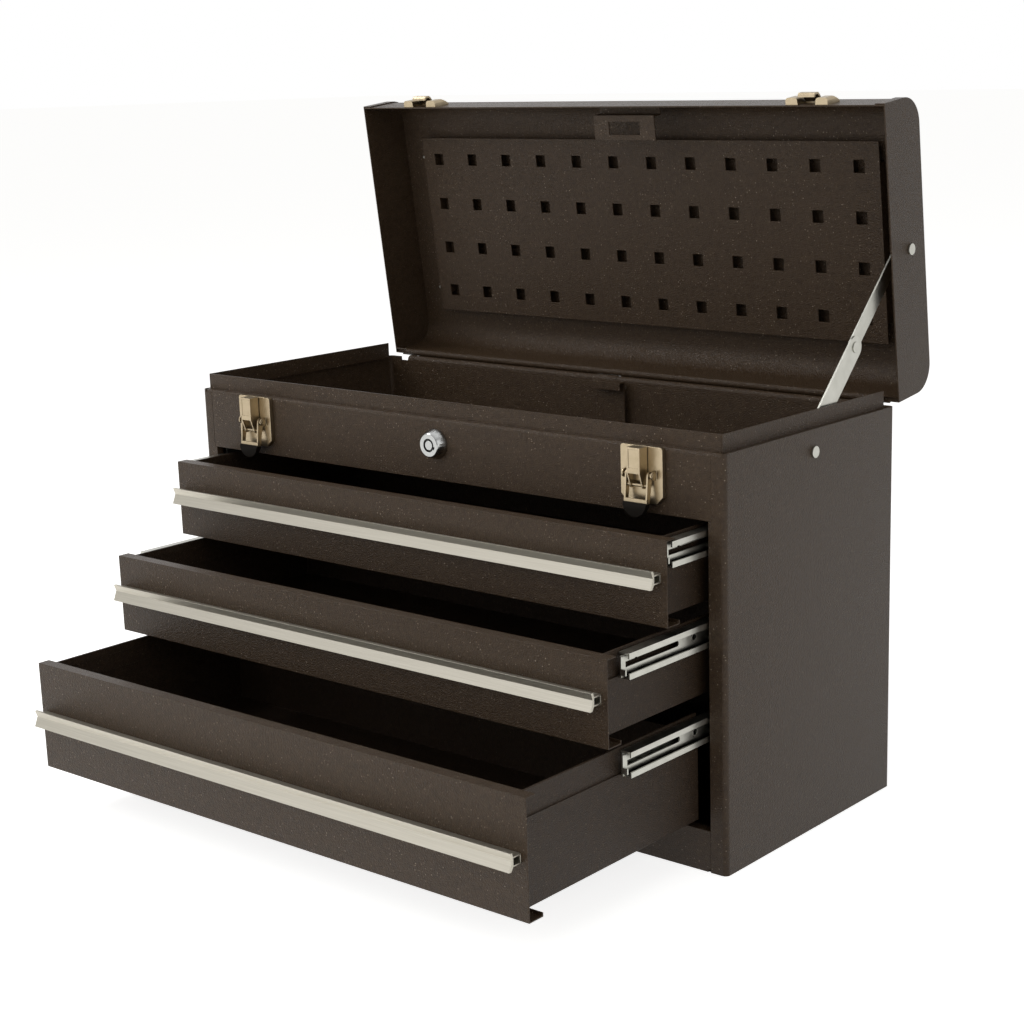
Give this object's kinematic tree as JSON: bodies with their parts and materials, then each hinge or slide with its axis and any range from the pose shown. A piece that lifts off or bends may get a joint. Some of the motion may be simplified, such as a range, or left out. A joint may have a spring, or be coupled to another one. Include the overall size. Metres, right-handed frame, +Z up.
{
  "type": "machinist tool chest",
  "caption": "Portable steel machinist tool chest with drawers on sliding runners, a lidded till with a perforated tool board, draw latches, a cam lock and a lid stay.",
  "frame": {"origin": "centre of the cabinet's bottom face", "axes": "+Z up, the drawers open towards -Y, +X to the viewer's right along the width"},
  "size_m": [0.5125, 0.4751, 0.5171],
  "materials": {
    "paint": "dark brown wrinkle powder coat",
    "paint_dark": "dark brown powder coat",
    "alloy": "satin anodised",
    "nickel": "warm nickel plate",
    "zinc": "zinc plate",
    "chrome": "polished",
    "black": "moulded"
  },
  "bodies": {
    "cabinet": {"cabinet_shell": "paint", "front_panel": "paint", "base_rail": "paint", "base_pan": "paint_dark", "till_floor": "paint_dark", "slide_posts": "zinc", "cabinet_rails_left": "zinc", "cabinet_rails_right": "zinc", "hinge_leaves": "paint", "hinge_pin": "zinc", "latch_plate_left": "nickel", "latch_plate_right": "nickel", "latch_stubs": "nickel", "lock_body": "chrome", "lock_nut": "zinc", "lock_bar_guides": "paint", "stay_rivet_lower": "zinc"},
    "lid": {"lid_shell": "paint", "lid_cap_left": "paint", "lid_cap_right": "paint", "tool_board": "paint", "tool_board_channels": "paint", "lock_strike": "paint", "latch_strike_left": "nickel", "latch_strike_right": "nickel", "stay_rivet_upper": "zinc", "handle_brackets": "zinc"},
    "handle": {"handle_bail": "zinc", "handle_grip": "black"},
    "lever_left": {"latch_lever_left": "nickel", "latch_tab_left": "black"},
    "lever_right": {"latch_lever_right": "nickel", "latch_tab_right": "black"},
    "hasp_left": {"latch_hasp_left": "nickel"},
    "hasp_right": {"latch_hasp_right": "nickel"},
    "lock": {"lock_plug": "chrome", "lock_cam": "zinc"},
    "lock_bar": {"lock_bar": "paint"},
    "stay_lower": {"stay_lower_link": "zinc", "stay_elbow_rivet": "zinc"},
    "stay_upper": {"stay_upper_link": "zinc"},
    "runners_top": {"runner_top_left": "zinc", "runner_top_right": "zinc"},
    "drawer_top": {"top_drawer_front": "paint", "top_drawer_tray": "paint_dark", "top_drawer_pull": "alloy", "top_drawer_rails": "zinc"},
    "runners_middle": {"runner_middle_left": "zinc", "runner_middle_right": "zinc"},
    "drawer_middle": {"middle_drawer_front": "paint", "middle_drawer_tray": "paint_dark", "middle_drawer_pull": "alloy", "middle_drawer_rails": "zinc"},
    "runners_bottom": {"runner_bottom_left": "zinc", "runner_bottom_right": "zinc"},
    "drawer_bottom": {"bottom_drawer_front": "paint", "bottom_drawer_tray": "paint_dark", "bottom_drawer_pull": "alloy", "bottom_drawer_rails": "zinc"}
  },
  "joints": [
    {"name": "lid_hinge", "type": "hinge", "parent": "cabinet", "child": "lid", "pos_m": [0, 0.1119, 0.2902], "axis": [1, 0, 0], "range_deg": [0, 83]},
    {"name": "handle_swing", "type": "hinge", "parent": "lid", "child": "handle", "pos_m": [0, 0.15623, 0.40838], "axis": [1, 0, 0], "range_deg": [0, 176]},
    {"name": "lock_turn", "type": "hinge", "parent": "cabinet", "child": "lock", "pos_m": [0, -0.108, 0.274], "axis": [0, -1, 0], "range_deg": [0, 90]},
    {"name": "lock_bar_drop", "type": "slide", "parent": "cabinet", "child": "lock_bar", "axis": [0, 0, -1], "range_m": [0, 0.006], "stiffness_N_per_m": 120, "springref_m": -0.01},
    {"name": "stay_lower_turn", "type": "hinge", "parent": "cabinet", "child": "stay_lower", "pos_m": [0.24805, 0, 0.277], "axis": [1, 0, 0], "range_deg": [-31.3, 0]},
    {"name": "stay_upper_turn", "type": "hinge", "parent": "lid", "child": "stay_upper", "pos_m": [0.24615, 0.12784, 0.4049], "axis": [1, 0, 0], "range_deg": [0, 38.3]},
    {"name": "lever_left_flip", "type": "hinge", "parent": "cabinet", "child": "lever_left", "pos_m": [-0.1905, -0.1145, 0.274], "axis": [-1, 0, 0], "range_deg": [0, 75]},
    {"name": "hasp_left_turn", "type": "hinge", "parent": "lever_left", "child": "hasp_left", "pos_m": [-0.1905, -0.1154, 0.267], "axis": [-1, 0, 0], "range_deg": [-75, 0]},
    {"name": "lever_right_flip", "type": "hinge", "parent": "cabinet", "child": "lever_right", "pos_m": [0.1905, -0.1145, 0.274], "axis": [-1, 0, 0], "range_deg": [0, 75]},
    {"name": "hasp_right_turn", "type": "hinge", "parent": "lever_right", "child": "hasp_right", "pos_m": [0.1905, -0.1154, 0.267], "axis": [-1, 0, 0], "range_deg": [-75, 0]},
    {"name": "runners_top_slide", "type": "slide", "parent": "cabinet", "child": "runners_top", "axis": [0, -1, 0], "range_m": [-0.043, 0.047]},
    {"name": "drawer_top_slide", "type": "slide", "parent": "runners_top", "child": "drawer_top", "axis": [0, -1, 0], "range_m": [0, 0.0975]},
    {"name": "runners_middle_slide", "type": "slide", "parent": "cabinet", "child": "runners_middle", "axis": [0, -1, 0], "range_m": [-0.09, 0]},
    {"name": "drawer_middle_slide", "type": "slide", "parent": "runners_middle", "child": "drawer_middle", "axis": [0, -1, 0], "range_m": [-0.0168, 0.0807]},
    {"name": "runners_bottom_slide", "type": "slide", "parent": "cabinet", "child": "runners_bottom", "axis": [0, -1, 0], "range_m": [-0.09, 0]},
    {"name": "drawer_bottom_slide", "type": "slide", "parent": "runners_bottom", "child": "drawer_bottom", "axis": [0, -1, 0], "range_m": [-0.0975, 0]}
  ],
  "couplings": [
    {"joint": "stay_lower_turn", "follows": "lid_hinge", "ratio": -0.37658},
    {"joint": "stay_upper_turn", "follows": "lid_hinge", "ratio": 0.4606},
    {"joint": "hasp_left_turn", "follows": "lever_left_flip", "ratio": -1},
    {"joint": "hasp_right_turn", "follows": "lever_right_flip", "ratio": -1}
  ]
}
